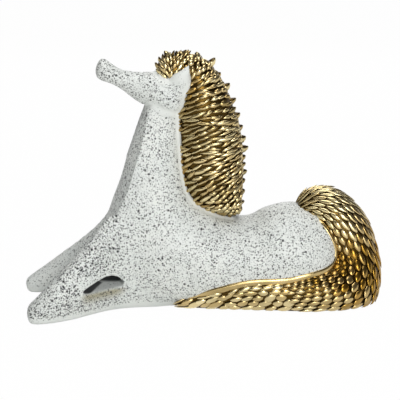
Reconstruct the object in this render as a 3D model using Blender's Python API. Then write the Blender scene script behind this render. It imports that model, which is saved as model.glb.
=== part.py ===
"""Reclining horse ornament: ceramic castings luted together, with a gilt mane, forelock and tail.

Lengths are in millimetres and become metres when a mesh is made. The horse faces -X, its near
(left) side is -Y, Z is up, and the origin is on the ground foot of the casting, under the girth.

Every form is a loft over ribs. A rib is one section: the two ends of its long axis, half its width,
and how blunt it is at its start, where 1 is a plain oval and less is squarer. A rib table reads like
the frames of a boat.
"""

import math

import bmesh
import bpy
import numpy as np
from mathutils import Vector

MM = 0.001
ACROSS = Vector((0, 1, 0))

# Fits and walls
JOINT_GAP = 0.3
WALL = 5.0
VENT_RADIUS = 5.0
VENT_X = 66.0
CUT_MARGIN = 10.0

# The round underside is ground flat to this depth, which makes the foot it stands on
FOOT_DEPTH = 3.5
FOOT_Z = 0.0
SOLE_Z = FOOT_Z - FOOT_DEPTH

# Trunk and neck
GIRTH_X = 50.0
BACK_Z = 82.0
BACK_X = 40.0
BARREL_HALF_WIDTH = 49.0
HAUNCH_X = 92.0
HAUNCH_Z = 96.5
HAUNCH_HALF_WIDTH = 55.0
RUMP_X = 140.0
NECK_BACK_X = -17.5
NECK_HALF_WIDTH = 21.5
CHEST_BLUNTNESS = 0.55

# Head
JAW_Z = 190.0
HEAD_DEPTH = 42.5
BROW_Z = JAW_Z + HEAD_DEPTH
CHEEK_HALF_WIDTH = 22.0
MUZZLE_X = -102.0
MUZZLE_HALF_WIDTH = 10.2

# Forelegs, folded under with the knee in front
KNEE_X = -175.0
KNEE_Y = 51.0
KNEE_HALF_WIDTH = 15.0
ELBOW_HALF_WIDTH = 18.0
OFF_KNEE_HEIGHT = 0.75
OFF_ELBOW_HEIGHT = 0.92
LEG_LENGTH = 105.0
GAP_X = -122.0
GAP_LENGTH = 42.0
GAP_Z = 24.5
GAP_HEIGHT = 15.0

# Gilt hair: the locks are lozenges in a net over the form, this high. Those of the mane lie along
# its rings, and those of the tail across them, in rows a number of points apart. Thin ends carry
# lower locks.
MANE_LOCK_HEIGHT = 2.8
MANE_RING_PITCH = 3.0
MANE_AROUND = 20
MANE_ROW_POINTS = 1
TAIL_LOCK_HEIGHT = 1.6
TAIL_RING_PITCH = 5.8
TAIL_AROUND = 56
TAIL_ROW_POINTS = 2
FULL_LOCK_WIDTH = 10.0
PARTING = (-22.0, 0.0, BROW_Z + 2.5)
PARTING_NORMAL = (-0.8, 0.0, 0.6)

# Fineness of each form: rings in a span between two ribs, and points round a ring
TORSO_MESH = (3, 28)
HOLLOW_MESH = (2, 16)
HEAD_MESH = (2, 20)
LEG_MESH = (2, 18)
EAR_MESH = (2, 12)
PACING_STEPS = 16

SHARP_ANGLE = math.radians(40)

# Finishes: colour, roughness and metallic value
SPECKLED_GLAZE = ((0.80, 0.83, 0.82), 0.18, 0.0)
GOLD_LUSTRE = ((0.72, 0.50, 0.16), 0.22, 1.0)


def rib(start, end, half_width, bluntness=1.0):
    """A section whose long axis runs from start to end."""
    return (*start, *end, half_width, bluntness)


def upright(x, low, high, half_width):
    """A rib that stands across the length of the horse, in its mid-plane."""
    return rib((x, 0, low), (x, 0, high), half_width)


def sloped(front, back, half_width, bluntness=1.0):
    """A rib between two (x, z) points of the mid-plane."""
    return rib((front[0], 0, front[1]), (back[0], 0, back[1]), half_width, bluntness)


def torso_ribs():
    """From the rump along the barrel, fanning up round the withers, to the top of the neck."""
    rear = (
        upright(RUMP_X, 44, 54, 5),
        upright(RUMP_X - 3, 28, 68, 24),
        upright(RUMP_X - 11, 10, 83, 41),
        upright(RUMP_X - 26, SOLE_Z, 93, HAUNCH_HALF_WIDTH - 4),
        upright(HAUNCH_X, SOLE_Z, HAUNCH_Z, HAUNCH_HALF_WIDTH),
        upright(HAUNCH_X - 22, SOLE_Z, (HAUNCH_Z + BACK_Z) / 2 + 3, HAUNCH_HALF_WIDTH - 2),
        upright(GIRTH_X, SOLE_Z, BACK_Z + 2, BARREL_HALF_WIDTH + 1),
    )
    blunt = CHEST_BLUNTNESS
    fan = (
        sloped((10, SOLE_Z), (BACK_X - 18, BACK_Z + 2.5), BARREL_HALF_WIDTH),
        sloped((-22, SOLE_Z), (9, BACK_Z + 7.5), BARREL_HALF_WIDTH),
        sloped((-50, SOLE_Z + 3), (0, BACK_Z + 14), BARREL_HALF_WIDTH - 2),
        sloped((-70, 18), (-6, BACK_Z + 22), BARREL_HALF_WIDTH - 5, blunt + 0.3),
        sloped((-85, 44), (-11, BACK_Z + 32), BARREL_HALF_WIDTH - 9, blunt + 0.15),
        sloped((-92.5, 72), (-14.5, BACK_Z + 44), BARREL_HALF_WIDTH - 13, blunt + 0.05),
    )
    neck = (
        sloped((-91.5, BACK_Z + 18), (NECK_BACK_X + 1.5, BACK_Z + 59), NECK_HALF_WIDTH + 10, blunt),
        sloped((-81, BACK_Z + 44), (NECK_BACK_X + 0.5, BACK_Z + 75), NECK_HALF_WIDTH + 6, blunt),
        sloped((-71.3, JAW_Z - 38), (NECK_BACK_X, JAW_Z - 18), NECK_HALF_WIDTH + 2.5, blunt),
        sloped((-64, JAW_Z - 19), (NECK_BACK_X, JAW_Z - 6), NECK_HALF_WIDTH, blunt),
        sloped((-58, JAW_Z - 3), (NECK_BACK_X + 1, JAW_Z + 5), NECK_HALF_WIDTH - 1.5, blunt),
        sloped((-53, JAW_Z + 10), (NECK_BACK_X + 2, JAW_Z + 15), NECK_HALF_WIDTH - 2.5, blunt),
        sloped((-47, JAW_Z + 19), (NECK_BACK_X, JAW_Z + 22), NECK_HALF_WIDTH - 6, blunt),
    )
    return rear + fan + neck


def head_ribs():
    """From the poll over the cheeks and the dished nose to the round muzzle."""
    return (
        sloped((-17, JAW_Z + 10), (-14, JAW_Z + 24), 8),
        sloped((-23, JAW_Z + 2.5), (-15, BROW_Z - 10.5), CHEEK_HALF_WIDTH - 5),
        sloped((-31, JAW_Z), (-21, BROW_Z - 5.5), CHEEK_HALF_WIDTH - 0.5),
        sloped((-40, JAW_Z + 1.2), (-29, BROW_Z - 2), CHEEK_HALF_WIDTH),
        sloped((-49, JAW_Z + 6.2), (-39, BROW_Z), CHEEK_HALF_WIDTH - 2),
        sloped((-57, JAW_Z + 11.5), (-48, BROW_Z + 0.6), CHEEK_HALF_WIDTH - 5.5),
        sloped((-66, JAW_Z + 17.5), (-58, BROW_Z + 0.6), CHEEK_HALF_WIDTH - 8.5),
        sloped((-75, JAW_Z + 25), (-68, BROW_Z + 1.4), MUZZLE_HALF_WIDTH + 0.8),
        sloped((MUZZLE_X + 17.5, JAW_Z + 31), (MUZZLE_X + 23.5, BROW_Z + 4.3), MUZZLE_HALF_WIDTH - 0.4),
        sloped((MUZZLE_X + 10, JAW_Z + 34), (MUZZLE_X + 14, BROW_Z + 10.8), MUZZLE_HALF_WIDTH),
        sloped((MUZZLE_X + 4, JAW_Z + 36.2), (MUZZLE_X + 7.5, BROW_Z + 14.7), MUZZLE_HALF_WIDTH),
        sloped((MUZZLE_X + 1, JAW_Z + 39.5), (MUZZLE_X + 3, BROW_Z + 11), MUZZLE_HALF_WIDTH - 2.7),
        sloped((MUZZLE_X, JAW_Z + 43.5), (MUZZLE_X + 0.5, BROW_Z + 5.5), 2.5),
    )


def ear_ribs(side):
    """A leaf that grows out of the poll; side is -1 for the near ear and 1 for the off ear."""
    return (
        rib((-33, 12 * side, BROW_Z - 11.5), (-15, 12 * side, BROW_Z - 21.5), 5.5),
        rib((-30, 16.5 * side, BROW_Z - 3.5), (-12.5, 16 * side, BROW_Z - 11.5), 5),
        rib((-23.5, 18.5 * side, BROW_Z + 2.5), (-12, 18 * side, BROW_Z - 2.5), 3.8),
        rib((-16, 19.5 * side, BROW_Z + 8), (-12.5, 19.5 * side, BROW_Z + 6), 1.6),
        rib((-13.6, 19.8 * side, BROW_Z + 10), (-13, 19.8 * side, BROW_Z + 9.7), 0.5),
    )


def foreleg_ribs(side, knee_height=1.0, elbow_height=1.0):
    """From the knee back to the elbow inside the chest; the sole edge tucks in under the belly. The
    heights are shares of the near leg's."""

    def station(back, low, high, low_y, high_y, half_width):
        height = knee_height + (elbow_height - knee_height) * back / LEG_LENGTH
        x = KNEE_X + back
        return rib((x, low_y * side, low), (x, high_y * side, high * height), half_width)

    return (
        station(0, 6, 13, KNEE_Y, KNEE_Y, 4),
        station(2.5, SOLE_Z + 3, 18, KNEE_Y, KNEE_Y, KNEE_HALF_WIDTH - 5),
        station(10, SOLE_Z, 25, KNEE_Y + 1, KNEE_Y - 1, KNEE_HALF_WIDTH - 2),
        station(25, SOLE_Z, 39.5, KNEE_Y - 1, KNEE_Y - 4, KNEE_HALF_WIDTH),
        station(45, SOLE_Z, 59, KNEE_Y - 9, KNEE_Y - 10, KNEE_HALF_WIDTH + 1.5),
        station(65, SOLE_Z, 78.5, KNEE_Y - 23, KNEE_Y - 15, KNEE_HALF_WIDTH + 3),
        station(85, SOLE_Z, 99, KNEE_Y - 33, KNEE_Y - 24, ELBOW_HALF_WIDTH),
        station(LEG_LENGTH, SOLE_Z, 98, KNEE_Y - 36, KNEE_Y - 30, ELBOW_HALF_WIDTH - 1),
        station(LEG_LENGTH + 20, SOLE_Z + 8, 84, KNEE_Y - 35, KNEE_Y - 33, ELBOW_HALF_WIDTH - 6),
    )


def crest_ribs():
    """The whole head of hair, from the brow between the ears and down the neck to the withers. Each
    rib lies the way the locks are combed, from the neck out to the crest."""
    brow = (
        sloped((-40, BROW_Z - 4.5), (-43.5, BROW_Z + 2.5), 6),
        sloped((-37, BROW_Z - 10.5), (-41.5, BROW_Z + 13), 12),
        sloped((-30, BROW_Z - 14.5), (-32, BROW_Z + 18), 13.5),
        sloped((-23, BROW_Z - 20.5), (-14, BROW_Z + 18.5), 13.5),
        sloped((-22, BROW_Z - 28.5), (2.5, BROW_Z + 13.5), 16),
    )
    nape = (
        sloped((-24, JAW_Z + 4), (15, JAW_Z + 43), 20),
        sloped((-26, JAW_Z - 8), (27, JAW_Z + 23.5), 22.5),
        sloped((-27, JAW_Z - 15), (35, JAW_Z + 1.5), 23.3),
        sloped((-27, JAW_Z - 25), (39.5, JAW_Z - 14.5), 24),
        sloped((-26, JAW_Z - 37), (41.3, JAW_Z - 29), 24.5),
    )
    withers = (
        sloped((-25, BACK_Z + 56), (42, BACK_Z + 66), 25),
        sloped((-22, BACK_Z + 39), (42.3, BACK_Z + 56), 25),
        sloped((-15, BACK_Z + 23), (42, BACK_Z + 45), 24.5),
        sloped((-5, BACK_Z + 11), (41.5, BACK_Z + 32), 23),
        sloped((8, BACK_Z + 2.5), (41, BACK_Z + 18), 20),
        sloped((21, BACK_Z - 3), (40.5, BACK_Z + 7), 15),
        sloped((30, BACK_Z - 4), (40, BACK_Z + 1), 9),
    )
    return brow + nape + withers


def tail_ribs():
    """From the dock over the rump and down behind it, then round to the near side and forward to a
    point. The ribs fan out from the corner where the haunch meets the ground."""
    return (
        rib((98, -2, 90), (99, -4, 97), 7),
        rib((106, 0, 84), (108, -6, 107.5), 15),
        rib((114, 0, 76), (126.5, -9, 112), 22),
        rib((118, -2, 66), (147.5, -11, 104), 27),
        rib((120, -4, 56), (166, -12, 84), 29),
        rib((121, -7, 46), (177, -13, 59), 30),
        rib((121, -10, 37), (181.5, -17, 31), 30),
        rib((118, -18, 34), (174, -30, 3), 27.5),
        rib((109, -31, 33), (149, -40, -6), 22),
        rib((94, -42, 34), (118, -43, -9), 17),
        rib((76, -46, 31), (89, -41, -9), 13.5),
        rib((57, -46, 30), (66, -36, -8), 11),
        rib((37, -45, 28.5), (43, -32, -7), 9),
        rib((17, -42.5, 24), (21, -28, -5), 7.5),
        rib((-2, -39, 18), (1, -25, -3), 6),
        rib((-14, -35, 12.5), (-12, -24, -1), 4.5),
        rib((-28, -31, 8), (-27, -25.5, 2), 2),
    )


def faired(ribs, steps, closed=False):
    """The rows with more between them, on a Catmull-Rom curve through their numbers."""
    rows = np.array(ribs, float)
    if closed:
        rows = np.vstack([rows[-1], rows, rows[:2]])
    else:
        rows = np.vstack([2 * rows[0] - rows[1], rows, 2 * rows[-1] - rows[-2]])
    found = []
    for a, b, c, d in zip(rows, rows[1:], rows[2:], rows[3:]):
        for t in np.arange(steps) / steps:
            slope = (c - a) * t
            bend = (2 * a - 5 * b + 4 * c - d) * t**2
            turn = (3 * b - a - 3 * c + d) * t**3
            found.append(b + (slope + bend + turn) / 2)
    if not closed:
        found.append(rows[-2])
    return np.array(found)


def paced(ribs, pitch):
    """Ribs an even pitch apart along the middle of the form."""
    rows = faired(ribs, PACING_STEPS)
    middles = (rows[:, :3] + rows[:, 3:6]) / 2
    steps = np.linalg.norm(np.diff(middles, axis=0), axis=1)
    lengths = np.concatenate([[0], np.cumsum(steps)])
    places = np.linspace(0, lengths[-1], round(lengths[-1] / pitch) + 1)
    return np.array([np.interp(places, lengths, column) for column in rows.T]).T


def lock_top(ring, point, row_points):
    """Whether a point of the net is the top of a lock; neighbouring rows are half a lock apart."""
    row, beside = divmod(point, row_points)
    return not beside and (ring + row) % 2 == 0


def unit_ring(angle, bluntness):
    """A point of a unit circle whose starting half is squared."""
    along = math.cos(angle)
    across = math.sin(angle)
    if along < 0:
        along = -((-along) ** bluntness)
        across = math.copysign(abs(across) ** bluntness, across)
    return along, across


def rings(rows, around, grow, floor, lock_height, row_points):
    """One loop of points for each row, with the tops of the locks raised."""
    centres = [(Vector(row[:3]) + Vector(row[3:6])) / 2 for row in rows]
    loops = []
    for i, row in enumerate(rows):
        centre = centres[i]
        long_axis = Vector(row[3:6]) - centre
        side = (ACROSS - ACROSS.project(long_axis)).normalized()
        height = lock_height * min(1.0, row[6] / FULL_LOCK_WIDTH)
        if i in (0, len(rows) - 1):
            centre += (centre - centres[1 if i == 0 else -2]).normalized() * grow
            height = 0.0
        loop = []
        for k in range(around):
            along, across = unit_ring(2 * math.pi * k / around, row[7])
            offset = long_axis * along + side * row[6] * across
            point = centre + offset + offset.normalized() * grow
            if lock_top(i, k, row_points) and point.z > floor + lock_height:
                point += offset.normalized() * height
            point.z = max(point.z, floor)
            loop.append(point * MM)
        loops.append(loop)
    return loops


def loft(name, rows, around, grow=0.0, floor=-math.inf, lock_height=0.0, row_points=1):
    """A closed mesh object over the rows. grow moves its skin out, floor flattens its underside, and
    lock_height raises a net of locks on it, which is creased along the grooves between them."""
    mesh = bmesh.new()
    loops = [
        [mesh.verts.new(point) for point in loop]
        for loop in rings(rows, around, grow, floor, lock_height, row_points)
    ]
    for i, (loop, following) in enumerate(zip(loops, loops[1:])):
        for k in range(around):
            j = (k + 1) % around
            corners = (loop[k], loop[j], following[j], following[k])
            if not lock_height:
                mesh.faces.new(corners)
                continue
            if lock_top(i, k, row_points) or lock_top(i + 1, j, row_points):
                corners = corners[1:] + corners[:1]
            mesh.faces.new(corners[:3])
            mesh.faces.new((corners[0], corners[2], corners[3]))
    mesh.faces.new(loops[0])
    mesh.faces.new(loops[-1])
    bmesh.ops.recalc_face_normals(mesh, faces=mesh.faces)
    return mesh_object(name, mesh)


def plain(name, ribs, fineness, grow=0.0, floor=-math.inf):
    """A smooth loft, with so many rings in a span between two ribs and so many points in a ring."""
    steps, around = fineness
    return loft(name, faired(ribs, steps), around, grow, floor)


def mesh_object(name, mesh):
    data = bpy.data.meshes.new(name)
    mesh.to_mesh(data)
    mesh.free()
    data.shade_smooth()
    obj = bpy.data.objects.new(name, data)
    bpy.context.scene.collection.objects.link(obj)
    return obj


def keep_side(obj, point, normal):
    """Saws the object on a plane, keeps what lies on the side that normal points to, and caps it."""
    mesh = bmesh.new()
    mesh.from_mesh(obj.data)
    geometry = mesh.verts[:] + mesh.edges[:] + mesh.faces[:]
    cut = bmesh.ops.bisect_plane(
        mesh, geom=geometry, plane_co=Vector(point) * MM, plane_no=normal, clear_inner=True
    )
    edges = [e for e in cut["geom_cut"] if isinstance(e, bmesh.types.BMEdge)]
    bmesh.ops.holes_fill(mesh, edges=edges)
    bmesh.ops.recalc_face_normals(mesh, faces=mesh.faces)
    mesh.to_mesh(obj.data)
    mesh.free()
    return obj


def cylinder(name, radius, x, y, low, high):
    mesh = bmesh.new()
    bmesh.ops.create_cone(
        mesh, cap_ends=True, segments=24, radius1=radius * MM, radius2=radius * MM, depth=(high - low) * MM
    )
    bmesh.ops.translate(mesh, verts=mesh.verts, vec=Vector((x, y, (low + high) / 2)) * MM)
    return mesh_object(name, mesh)


def cut(obj, *cutters):
    """Takes each cutter's volume out of the object."""
    for cutter in cutters:
        modifier = obj.modifiers.new(f"less_{cutter.name}", "BOOLEAN")
        modifier.operation = "DIFFERENCE"
        modifier.solver = "EXACT"
        modifier.object = cutter


def finish(obj, colour, roughness, metallic):
    """Gives a part its own material, and keeps its cut edges crisp."""
    material = bpy.data.materials.new(f"{obj.name}_finish")
    material.use_nodes = True
    shader = material.node_tree.nodes["Principled BSDF"]
    shader.inputs["Base Color"].default_value = (*colour, 1)
    shader.inputs["Roughness"].default_value = roughness
    shader.inputs["Metallic"].default_value = metallic
    obj.data.materials.append(material)
    obj.data.set_sharp_from_angle(angle=SHARP_ANGLE)


def gap_cutter(name, side):
    """The eye-shaped gap above the folded cannon, drawn in profile and run right through the leg."""
    arch = ((0, 0.1), (0.3, 0.62), (0.54, 0.88), (0.7, 1), (0.84, 0.95), (0.96, 0.57))
    sill = ((1, 0.22), (0.84, 0), (0.42, -0.02))
    outer = 2 * KNEE_Y * side
    mesh = bmesh.new()
    profile = [
        mesh.verts.new(Vector((GAP_X + along * GAP_LENGTH, outer, GAP_Z + up * GAP_HEIGHT)) * MM)
        for along, up in faired(arch + sill, 3, closed=True)
    ]
    face = mesh.faces.new(profile)
    swept = bmesh.ops.extrude_face_region(mesh, geom=[face])["geom"]
    moved = [item for item in swept if isinstance(item, bmesh.types.BMVert)]
    bmesh.ops.translate(mesh, verts=moved, vec=(0, -outer * MM, 0))
    bmesh.ops.recalc_face_normals(mesh, faces=mesh.faces)
    return mesh_object(name, mesh)


def build():
    for obj in list(bpy.data.objects):
        bpy.data.objects.remove(obj)

    deep = SOLE_Z - CUT_MARGIN
    torso_seat = plain("torso_seat", torso_ribs(), TORSO_MESH, grow=JOINT_GAP, floor=deep)
    head_seat = plain("head_seat", head_ribs(), HEAD_MESH, grow=JOINT_GAP)
    hollow_ribs = torso_ribs()[1:-4]
    hollow = plain("hollow", hollow_ribs, HOLLOW_MESH, grow=-WALL, floor=FOOT_Z + WALL)
    vent = cylinder("vent", VENT_RADIUS, VENT_X, 0, FOOT_Z - CUT_MARGIN, FOOT_Z + WALL + CUT_MARGIN)
    near_ear_seat = plain("near_ear_seat", ear_ribs(-1), EAR_MESH, grow=JOINT_GAP)
    off_ear_seat = plain("off_ear_seat", ear_ribs(1), EAR_MESH, grow=JOINT_GAP)
    near_gap = gap_cutter("near_gap", -1)
    off_gap = gap_cutter("off_gap", 1)
    mane_hollow = plain("mane_hollow", crest_ribs()[5:-2], HOLLOW_MESH, grow=-WALL)
    tail_hollow = plain("tail_hollow", tail_ribs()[2:9], HOLLOW_MESH, grow=-WALL, floor=FOOT_Z + WALL)
    seats = [torso_seat, head_seat, near_ear_seat, off_ear_seat]
    helpers = seats + [hollow, vent, mane_hollow, tail_hollow, near_gap, off_gap]

    forehand = plain("forehand", torso_ribs(), TORSO_MESH, floor=FOOT_Z)
    keep_side(forehand, (GIRTH_X - JOINT_GAP / 2, 0, 0), (-1, 0, 0))
    cut(forehand, hollow, head_seat)
    hindquarters = plain("hindquarters", torso_ribs(), TORSO_MESH, floor=FOOT_Z)
    keep_side(hindquarters, (GIRTH_X + JOINT_GAP / 2, 0, 0), (1, 0, 0))
    cut(hindquarters, hollow, vent)

    head = plain("head", head_ribs(), HEAD_MESH)
    near_ear = plain("near_ear", ear_ribs(-1), EAR_MESH)
    off_ear = plain("off_ear", ear_ribs(1), EAR_MESH)
    cut(near_ear, head_seat, torso_seat)
    cut(off_ear, head_seat, torso_seat)

    near_foreleg = plain("near_foreleg", foreleg_ribs(-1), LEG_MESH, floor=FOOT_Z)
    off_ribs = foreleg_ribs(1, OFF_KNEE_HEIGHT, OFF_ELBOW_HEIGHT)
    off_foreleg = plain("off_foreleg", off_ribs, LEG_MESH, floor=FOOT_Z)
    keep_side(near_foreleg, -ACROSS * JOINT_GAP / 2, -ACROSS)
    keep_side(off_foreleg, ACROSS * JOINT_GAP / 2, ACROSS)
    cut(near_foreleg, torso_seat, near_gap)
    cut(off_foreleg, torso_seat, off_gap)

    crest = paced(crest_ribs(), MANE_RING_PITCH)
    forelock, mane = [
        loft(name, crest, MANE_AROUND, lock_height=MANE_LOCK_HEIGHT, row_points=MANE_ROW_POINTS)
        for name in ("forelock", "mane")
    ]
    keep_side(forelock, Vector(PARTING) + Vector(PARTING_NORMAL) * JOINT_GAP, PARTING_NORMAL)
    keep_side(mane, PARTING, -Vector(PARTING_NORMAL))
    for hair in (forelock, mane):
        cut(hair, *seats)
    cut(mane, mane_hollow)
    sweep = paced(tail_ribs(), TAIL_RING_PITCH)
    tail = loft(
        "tail",
        sweep,
        TAIL_AROUND,
        floor=FOOT_Z,
        lock_height=TAIL_LOCK_HEIGHT,
        row_points=TAIL_ROW_POINTS,
    )
    cut(tail, torso_seat, tail_hollow)

    castings = [forehand, hindquarters, head, near_ear, off_ear, near_foreleg, off_foreleg]
    gilded = [mane, forelock, tail]
    for obj in castings:
        finish(obj, *SPECKLED_GLAZE)
    for obj in gilded:
        finish(obj, *GOLD_LUSTRE)
    file_objects("horse_ornament", castings + gilded)
    file_objects("cutters", helpers)
    for helper in helpers:
        helper.hide_render = True
        helper.display_type = "WIRE"


def file_objects(name, objects):
    collection = bpy.data.collections.new(name)
    bpy.context.scene.collection.children.link(collection)
    for obj in objects:
        bpy.context.scene.collection.objects.unlink(obj)
        collection.objects.link(obj)


build()
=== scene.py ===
"""Looks of the reclining horse ornament: one run of speckled glaze over the luted castings, and hair
modelled lock by lock under gold lustre.

Lengths are in millimetres until a mesh is finished, and then in metres. The horse faces -X and its
near side, which the camera sees, is -Y.
"""

import math
import random

import bmesh
import bpy
import numpy as np
from mathutils import Matrix, Vector
from mathutils.bvhtree import BVHTree


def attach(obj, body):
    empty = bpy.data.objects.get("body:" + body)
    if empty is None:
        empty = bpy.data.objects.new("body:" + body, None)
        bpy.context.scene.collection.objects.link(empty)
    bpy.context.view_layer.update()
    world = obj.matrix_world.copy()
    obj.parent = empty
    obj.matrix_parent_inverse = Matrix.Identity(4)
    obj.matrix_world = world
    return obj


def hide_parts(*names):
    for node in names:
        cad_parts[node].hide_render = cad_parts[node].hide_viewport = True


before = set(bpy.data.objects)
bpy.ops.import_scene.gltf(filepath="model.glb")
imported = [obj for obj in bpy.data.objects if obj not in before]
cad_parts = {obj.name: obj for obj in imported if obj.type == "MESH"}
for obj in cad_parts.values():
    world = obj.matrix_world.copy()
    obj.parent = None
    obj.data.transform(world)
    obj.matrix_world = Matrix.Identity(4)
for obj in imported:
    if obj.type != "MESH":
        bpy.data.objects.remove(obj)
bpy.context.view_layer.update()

MM = 0.001
ACROSS = Vector((0, 1, 0))

# Sizes that several ribs of the tables below share; the off leg's heights are shares of the near leg's
SOLE_Z = -3.5
CHEST_BLUNTNESS = 0.36
KNEE_X = -175.0
LEG_LENGTH = 105.0
OFF_KNEE_HEIGHT = 0.75
OFF_ELBOW_HEIGHT = 1.03

# The camera stands where the photograph was taken from
CAMERA_TARGET = Vector((0, 0, 103))
CAMERA_DISTANCE = 1300.0
CAMERA_ELEVATION = math.radians(14)
CAMERA_AZIMUTH = math.radians(-8)
VIEW_WIDTH = 400.0

# The pale floor turns up into a low wall all round. The camera sees most of it as plain white.
ROOM_RADIUS = 8000.0
ROOM_SIDES = 64
WALL_HEIGHT = 1400.0
FLOOR_WHITENESS = 0.985

# The dim light of the room, and the lamps: name, place and diameter in metres, and power in watts
ROOM_LIGHT = 0.1
LAMPS = (
    ("key", (0.12, -1.5, 0.8), 0.45, 10),
    ("fill", (0.2, -1.7, 0.15), 1.2, 9.5),
    ("overhead", (-0.05, 0.0, 1.8), 1.4, 17),
    ("back", (0.3, 1.7, 0.9), 1.2, 7.5),
)

# Fineness of the lofts: rings in a span between two ribs, and points round a ring. No ring gets
# narrower than the least half width.
RIB_STEPS = 8
PACING_STEPS = 16
GAP_STEPS = 6
TORSO_AROUND = 72
HEAD_AROUND = 48
LEG_AROUND = 48
EAR_AROUND = 32
LEAST_HALF_WIDTH = 0.3

# Fineness of the glazed skin, and how many times it is rounded. The ears, above and behind these
# values, are rounded less.
SKIN_VOXEL = 1.5
SKIN_ROUNDING = 4
EAR_ROUNDING = 3
EAR_FOOT_Z = 225.0
EAR_FRONT_X = -40.0

# The shoulders are rounded in turns that each reach less far from the join of leg and trunk. The edge
# along the front of the near leg stays crisp: there, only what faces the side or the rear is rounded.
SHOULDER_ROUNDING = 40
SHOULDER_REACHES = (26.0, 18.0, 10.0)
SHOULDER_LOW_Z = 1.0
SIDE_NORMAL_Y = -0.5
REAR_NORMAL_X = -0.2

# The brisket, where the chest runs out into the off leg, is rounded in turns with a smaller margin each
BRISKET_ROUNDING = 50
BRISKET_MARGINS = (21.0, 14.0, 7.0, 0.0)
BRISKET_X = -70.0
BRISKET_Y = -16.0
BRISKET_LOW_Z = 66.0
BRISKET_HIGH_Z = 128.0

# The lip of glaze round the hair, and the crease under the cheeks, where the head is luted on. Here and
# below, a pair is a stretch over which something comes in: none at its first value, all at its second.
LIP_HEIGHT = 1.4
LIP_WIDTH = 4.5
LIP_CLEAR_SHARE = 1.5
JAW_CREASE_DEPTH = 1.6
JAW_CREASE = (4.0, 1.0)
UNDER_CHEEK_Z = (212.0, 206.0)

# Where flecks are scarce: a share, and the stretches over which it comes in. On the near leg, where
# they are dense, the share counts the other way.
FOOT_BARENESS = 0.8
FOOT_Z = (9.0, 3.0)
OFF_LEG_BARENESS = 0.1
OFF_LEG_X = (-90.0, -110.0)
OFF_LEG_Y = (20.0, 35.0)
JAW_BARENESS = 0.5
JAW_SEAM = (4.0, 1.5)
EAR_BARENESS = 0.5
EAR_X = (-42.0, -36.0)
EAR_Z = (222.0, 228.0)
NEAR_LEG_FLECKS = 0.2
NEAR_LEG_X = (-70.0, -100.0)
NEAR_LEG_Y = (0.0, -20.0)

# Hair: the net that the locks lie in, and the locks. A lock's size is its length, width and height. A
# shape is how pointed its ends are, and how much of its height is painted dark as shade. Tones go from 0,
# deep gold, to 1, pale.
CORE_DEPTH = 0.4
SUNK_DEPTH = 1.5
TONE_SPREAD = 0.3
LOCK_SIDES = 10
LOCK_RINGS = 6
UNDERSIDE_DEPTH = 0.4
GROOVE_FADE = 0.5

# Mane
MANE_SEED = 7
MANE_RING_PITCH = 2.5
MANE_AROUND = 22
MANE_LOCK_SHAPE = (0.25, 0.6)
MANE_LOCK_LENGTH_SHARE = 0.9
MANE_LOCK_WIDTH_SHARE = 0.85
MANE_LOCK_HEIGHT = 2.6
MANE_TILT = (0.02, 0.2)
MANE_UNEVENNESS = 0.32
MANE_TONE = 0.68
# Painted shade: locks that lie close to the skin, in the crease along the mane's border with the neck, take
# a deeper tone, coming in from 6 to 3 mm out from the skin
BORDER_SHADE_TONE = 0.35
BORDER_SHADE_DEPTH = (-6.0, -3.0)
CREST_LOCK = (10.0, 7.0, 2.4)
CREST_REACH = 2
CREST_SINK = 1.5
CREST_TILT = 0.2
CREST_UNEVENNESS = 0.4
KNOB_SHAPE = (0.1, 0.2)
KNOB = (14.0, 11.0, 5.5)
KNOB_SINK = 2.0
KNOB_UNEVENNESS = 0.2
RINGS_PER_KNOB = 4

# The mane's locks are combed back and up, more steeply towards the withers; angles are in degrees
COMBED_Z = (235.0, 215.0)
NAPE_ANGLE = 15
WITHERS_EXTRA_ANGLE = 18
WITHERS_Z = (155.0, 125.0)

# Forelock, whose strands run together to tips on the brow
FORELOCK_SEED = 3
FORELOCK_TIP = Vector((-30, 14, 226))
FORELOCK_SPREAD = 1.3
FORELOCK_STRAND = (10.0, 4.4, 2.0)
PARTING = Vector((-22, 0, 235))
PARTING_NORMAL = Vector((-0.8, 0, 0.6))

# Tail; the tones are given at shares of its length
TAIL_SEED = 11
TAIL_RING_PITCH = 5.8
TAIL_AROUND = 60
TAIL_LOCK_SHAPE = (0.3, 0.35)
TAIL_LOCK_LENGTH_SHARE = 1.15
TAIL_LOCK_HEIGHT = 1.6
TAIL_TILT = 0.1
TAIL_UNEVENNESS = 0.1
TAIL_ROW_POINTS = 2
TAIL_ROW_OVERLAP = 1.08
TAIL_TONES = ((0, 0.15, 0.3, 0.4, 0.55, 0.7, 1), (0.8, 0.75, -0.2, 0.15, 0.55, 0.7, 0.7))
LEAF_SHAPE = (0.25, 0.1)
LEAF_LENGTH_SHARE = 1.25
LEAF_WIDTH_SHARE = 1.1
LEAF_SLANT = 0.12
LEAF_UNEVENNESS = 0.25
LEAF_ROW_WIDTH = 4.6
LEAF_MOST_POINTS = 6

# The smooth roll along the tail's border; it starts and ends thin
RIM_RADIUS = 5.0
RIM_HEIGHT = 2.6
RIM_SIDES = 12
RIM_STEPS = 60
RIM_SEARCH_START = 0.3
RIM_FIRST_RING = 3
RIM_LOW_Z = 2.0
RIM_EVENING = 3
RIM_FAIRING = 3
RIM_END_SHARE = 0.3
RIM_TAPER = 12
RIM_TONE = 0.45


def rib(start, end, half_width, bluntness=1.0):
    """A section whose long axis runs from start to end: an oval, or squarer at its start where the
    bluntness is under 1."""
    return (*start, *end, half_width, bluntness)


def sloped(front, back, half_width, bluntness=1.0):
    """A rib between two (x, z) points of the mid-plane."""
    return rib((front[0], 0, front[1]), (back[0], 0, back[1]), half_width, bluntness)


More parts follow.
